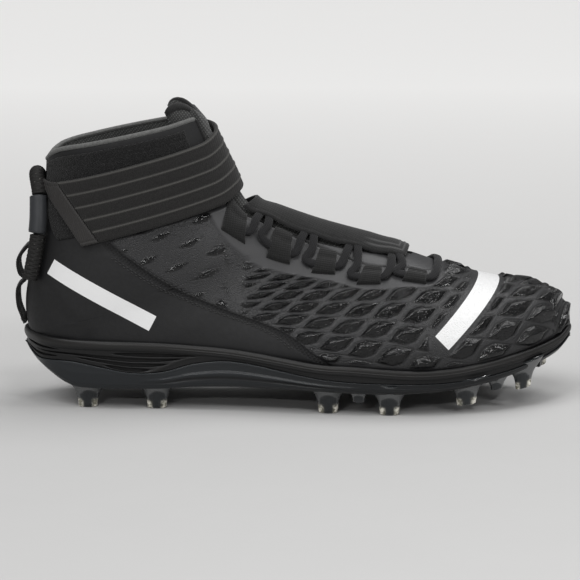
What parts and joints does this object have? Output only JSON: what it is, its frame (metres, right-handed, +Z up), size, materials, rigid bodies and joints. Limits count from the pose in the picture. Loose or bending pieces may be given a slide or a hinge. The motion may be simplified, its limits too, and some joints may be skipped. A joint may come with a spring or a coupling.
{
  "type": "american football cleat",
  "caption": "Mid-cut american football cleat for the right foot, with an ankle strap, a lace cover, a heel pull rope and a studded plate.",
  "frame": {"origin": "middle of the bounding box at ground level, under the studs", "axes": "+X heel to toe, +Y towards the inner side of the foot, +Z up"},
  "size_m": [0.3042, 0.1034, 0.164],
  "materials": {
    "upper": "satin synthetic with a raised glossy pattern on the forefoot",
    "lining": "padded mesh",
    "insole": "brushed cloth",
    "midsole": "satin foam rubber",
    "plate": "satin, smoky",
    "stud": "smoky, slightly clear",
    "webbing": "woven tape",
    "lace": "flat braid",
    "cover": "fine textile",
    "strap": "ribbed elastic strap",
    "strap_tab": "smooth moulded end",
    "panel": "hook and loop pile",
    "rope": "round braid",
    "sleeve": "smooth rubber sleeve"
  },
  "bodies": {
    "root": {"upper": "upper", "midsole": "midsole", "outsole_plate": "plate", "insole": "insole", "tongue": "lining", "fastening_panel": "panel", "ankle_strap": "strap", "strap_tab": "strap_tab", "lace_tunnel_lateral_1": "webbing", "lace_tunnel_medial_1": "webbing", "lace_tunnel_lateral_2": "webbing", "lace_tunnel_medial_2": "webbing", "lace_tunnel_lateral_3": "webbing", "lace_tunnel_medial_3": "webbing", "lace_tunnel_lateral_4": "webbing", "lace_tunnel_medial_4": "webbing", "lace_tunnel_lateral_5": "webbing", "lace_tunnel_medial_5": "webbing", "laces_1": "lace", "laces_2": "lace", "laces_3": "lace", "laces_4": "lace", "laces_bar": "lace", "lace_cover": "cover", "rope_bend": "rope", "rope_leg_lateral": "rope", "rope_leg_medial": "rope", "sleeve_lateral": "sleeve", "sleeve_medial": "sleeve", "heel_webbing": "webbing", "stud_heel_back_lateral": "stud", "stud_heel_back_medial": "stud", "stud_heel_front_lateral": "stud", "stud_heel_front_medial": "stud", "stud_ball_back_lateral": "stud", "stud_ball_back_medial": "stud", "stud_ball_front_lateral": "stud", "stud_ball_front_medial": "stud", "stud_fore_lateral": "stud", "stud_fore_medial": "stud", "stud_toe_lateral": "stud", "stud_toe_medial": "stud", "stud_toe_front": "stud"}
  },
  "joints": []
}
